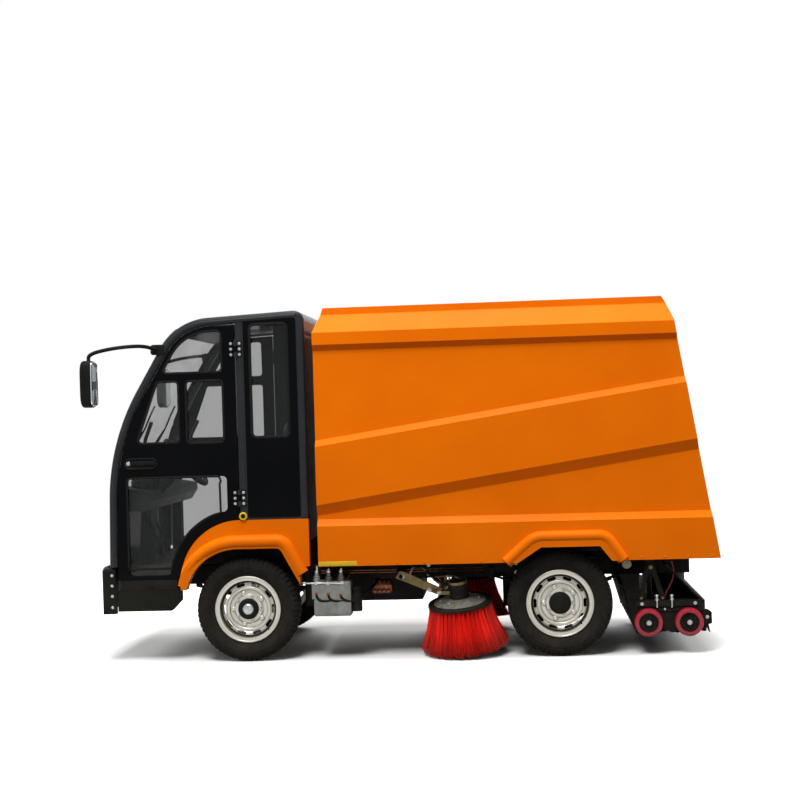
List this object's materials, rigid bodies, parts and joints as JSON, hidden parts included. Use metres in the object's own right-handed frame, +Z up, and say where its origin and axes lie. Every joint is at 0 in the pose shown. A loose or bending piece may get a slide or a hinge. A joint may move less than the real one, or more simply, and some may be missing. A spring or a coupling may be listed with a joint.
{
  "type": "street sweeper",
  "caption": "Small electric street sweeper with a black glazed cab, an orange tilting hopper with tailgate, side brooms on lift arms and a rear suction nozzle on small wheels.",
  "frame": {"origin": "on the ground under the middle of the overall box", "axes": "-X towards the front of the vehicle, -Y towards its left side, +Z up"},
  "size_m": [3.58, 1.86, 2.03],
  "materials": {
    "orange_paint": "gloss",
    "black_gloss_paint": "gloss",
    "black_moulding": "matte",
    "chassis_black": "satin",
    "battery_case": "satin",
    "tinted_glass": "gloss",
    "lamp_lens": "gloss",
    "red_lens": "gloss",
    "tyre_rubber": "matte",
    "silver_steel": "satin",
    "seat_cover": "satin",
    "trim_plastic": "matte",
    "grey_steel": "satin",
    "hard_chrome": "polished",
    "zinc_plate": "satin",
    "broom_black": "satin",
    "red_bristle": "matte",
    "red_urethane": "satin"
  },
  "bodies": {
    "chassis": {"chassis_rails": "chassis_black", "chassis_cross_members": "chassis_black", "leaf_springs": "chassis_black", "front_axle": "chassis_black", "rear_axle": "chassis_black", "battery_pack": "battery_case", "cab_floor": "chassis_black", "cab_front_panel": "black_gloss_paint", "windscreen": "tinted_glass", "cab_roof": "black_gloss_paint", "cab_rear_wall": "black_gloss_paint", "cab_side_left": "black_gloss_paint", "cab_side_right": "black_gloss_paint", "quarter_glass": "tinted_glass", "front_fenders": "orange_paint", "front_bumper": "black_moulding", "side_sills": "black_moulding", "headlamps": "lamp_lens", "mirrors": "black_moulding", "seats": "seat_cover", "dashboard": "trim_plastic", "valve_box": "grey_steel", "tow_eye": "chassis_black", "suction_pipe_and_lift": "chassis_black"},
    "steering_wheel": {"steering_wheel": "trim_plastic"},
    "hopper": {"hopper_side_left": "orange_paint", "hopper_side_right": "orange_paint", "hopper_front_wall": "orange_paint", "hopper_roof": "orange_paint", "hopper_floor": "chassis_black", "tail_lamps": "red_lens"},
    "tailgate": {"tailgate": "orange_paint"},
    "tilt_barrel": {"tilt_barrel": "chassis_black"},
    "tilt_rod": {"tilt_rod": "hard_chrome"},
    "nozzle": {"nozzle": "chassis_black"},
    "knuckle_left": {"knuckle_left": "chassis_black"},
    "wheel_front_left": {"tyre_front_left": "tyre_rubber", "rim_front_left": "silver_steel"},
    "wheel_rear_left": {"tyre_rear_left": "tyre_rubber", "rim_rear_left": "silver_steel"},
    "door_left": {"door_left": "black_gloss_paint", "door_glass_left": "tinted_glass"},
    "broom_arm_left": {"broom_arm_left": "zinc_plate"},
    "broom_left": {"broom_disc_left": "broom_black", "broom_bristles_left": "red_bristle"},
    "nozzle_wheel_front_left": {"nozzle_wheel_front_left": "red_urethane"},
    "nozzle_wheel_rear_left": {"nozzle_wheel_rear_left": "red_urethane"},
    "knuckle_right": {"knuckle_right": "chassis_black"},
    "wheel_front_right": {"tyre_front_right": "tyre_rubber", "rim_front_right": "silver_steel"},
    "wheel_rear_right": {"tyre_rear_right": "tyre_rubber", "rim_rear_right": "silver_steel"},
    "door_right": {"door_right": "black_gloss_paint", "door_glass_right": "tinted_glass"},
    "broom_arm_right": {"broom_arm_right": "zinc_plate"},
    "broom_right": {"broom_disc_right": "broom_black", "broom_bristles_right": "red_bristle"},
    "nozzle_wheel_front_right": {"nozzle_wheel_front_right": "red_urethane"},
    "nozzle_wheel_rear_right": {"nozzle_wheel_rear_right": "red_urethane"}
  },
  "joints": [
    {"name": "steer_left", "type": "hinge", "parent": "chassis", "child": "knuckle_left", "pos_m": [-0.91, -0.495, 0.3], "axis": [0, 0, 1], "range_deg": [-28, 28]},
    {"name": "wheel_front_left_spin", "type": "hinge", "parent": "knuckle_left", "child": "wheel_front_left", "pos_m": [-0.91, -0.5725, 0.3], "axis": [0, -1, 0], "continuous": true},
    {"name": "wheel_rear_left_spin", "type": "hinge", "parent": "chassis", "child": "wheel_rear_left", "pos_m": [0.89, -0.5725, 0.3], "axis": [0, -1, 0], "continuous": true},
    {"name": "door_left_swing", "type": "hinge", "parent": "chassis", "child": "door_left", "pos_m": [-0.932, -0.681, 1.2], "axis": [0, 0, 1], "range_deg": [0, 70]},
    {"name": "broom_left_lift", "type": "hinge", "parent": "chassis", "child": "broom_arm_left", "pos_m": [-0.03, -0.445, 0.45], "axis": [0, -1, 0], "range_deg": [0, 6]},
    {"name": "broom_left_spin", "type": "hinge", "parent": "broom_arm_left", "child": "broom_left", "pos_m": [0.338, -0.49, 0.05], "axis": [-0.0861, -0.1559, 0.984], "continuous": true},
    {"name": "nozzle_wheel_front_left_spin", "type": "hinge", "parent": "nozzle", "child": "nozzle_wheel_front_left", "pos_m": [1.385, -0.6345, 0.182], "axis": [0, -1, 0], "continuous": true},
    {"name": "nozzle_wheel_rear_left_spin", "type": "hinge", "parent": "nozzle", "child": "nozzle_wheel_rear_left", "pos_m": [1.612, -0.6345, 0.182], "axis": [0, -1, 0], "continuous": true},
    {"name": "steer_right", "type": "hinge", "parent": "chassis", "child": "knuckle_right", "pos_m": [-0.91, 0.495, 0.3], "axis": [0, 0, 1], "range_deg": [-28, 28]},
    {"name": "wheel_front_right_spin", "type": "hinge", "parent": "knuckle_right", "child": "wheel_front_right", "pos_m": [-0.91, 0.5725, 0.3], "axis": [0, -1, 0], "continuous": true},
    {"name": "wheel_rear_right_spin", "type": "hinge", "parent": "chassis", "child": "wheel_rear_right", "pos_m": [0.89, 0.5725, 0.3], "axis": [0, -1, 0], "continuous": true},
    {"name": "door_right_swing", "type": "hinge", "parent": "chassis", "child": "door_right", "pos_m": [-0.932, 0.681, 1.2], "axis": [0, 0, -1], "range_deg": [0, 70]},
    {"name": "broom_right_lift", "type": "hinge", "parent": "chassis", "child": "broom_arm_right", "pos_m": [-0.03, 0.445, 0.45], "axis": [0, -1, 0], "range_deg": [0, 6]},
    {"name": "broom_right_spin", "type": "hinge", "parent": "broom_arm_right", "child": "broom_right", "pos_m": [0.338, 0.49, 0.05], "axis": [-0.0861, 0.1559, 0.984], "continuous": true},
    {"name": "nozzle_wheel_front_right_spin", "type": "hinge", "parent": "nozzle", "child": "nozzle_wheel_front_right", "pos_m": [1.385, 0.6345, 0.182], "axis": [0, -1, 0], "continuous": true},
    {"name": "nozzle_wheel_rear_right_spin", "type": "hinge", "parent": "nozzle", "child": "nozzle_wheel_rear_right", "pos_m": [1.612, 0.6345, 0.182], "axis": [0, -1, 0], "continuous": true},
    {"name": "steering_wheel_turn", "type": "hinge", "parent": "chassis", "child": "steering_wheel", "pos_m": [-1.325, -0.32, 1.153], "axis": [0.759, 0, 0.6511], "range_deg": [-336, 336]},
    {"name": "hopper_tilt", "type": "hinge", "parent": "chassis", "child": "hopper", "pos_m": [1.65, 0, 0.6], "axis": [0, 1, 0], "range_deg": [0, 45]},
    {"name": "tailgate_swing", "type": "hinge", "parent": "hopper", "child": "tailgate", "pos_m": [1.552, 0, 1.962], "axis": [0, -1, 0], "range_deg": [0, 80]},
    {"name": "tilt_barrel_turn", "type": "hinge", "parent": "chassis", "child": "tilt_barrel", "pos_m": [1.09, 0, 0.44], "axis": [0, 1, 0], "range_deg": [0, 59.98]},
    {"name": "tilt_rod_slide", "type": "slide", "parent": "tilt_barrel", "child": "tilt_rod", "axis": [-0.9504, 0, 0.311], "range_m": [0, 0.4062]},
    {"name": "nozzle_lower", "type": "slide", "parent": "chassis", "child": "nozzle", "axis": [0, 0, -1], "range_m": [0, 0.095]}
  ],
  "couplings": [
    {"joint": "steer_right", "follows": "steer_left", "ratio": 1},
    {"joint": "steering_wheel_turn", "follows": "steer_left", "ratio": 12},
    {"joint": "tilt_barrel_turn", "follows": "hopper_tilt", "ratio": 1.3219},
    {"joint": "tilt_rod_slide", "follows": "hopper_tilt", "m_per_rad": 0.51338}
  ]
}
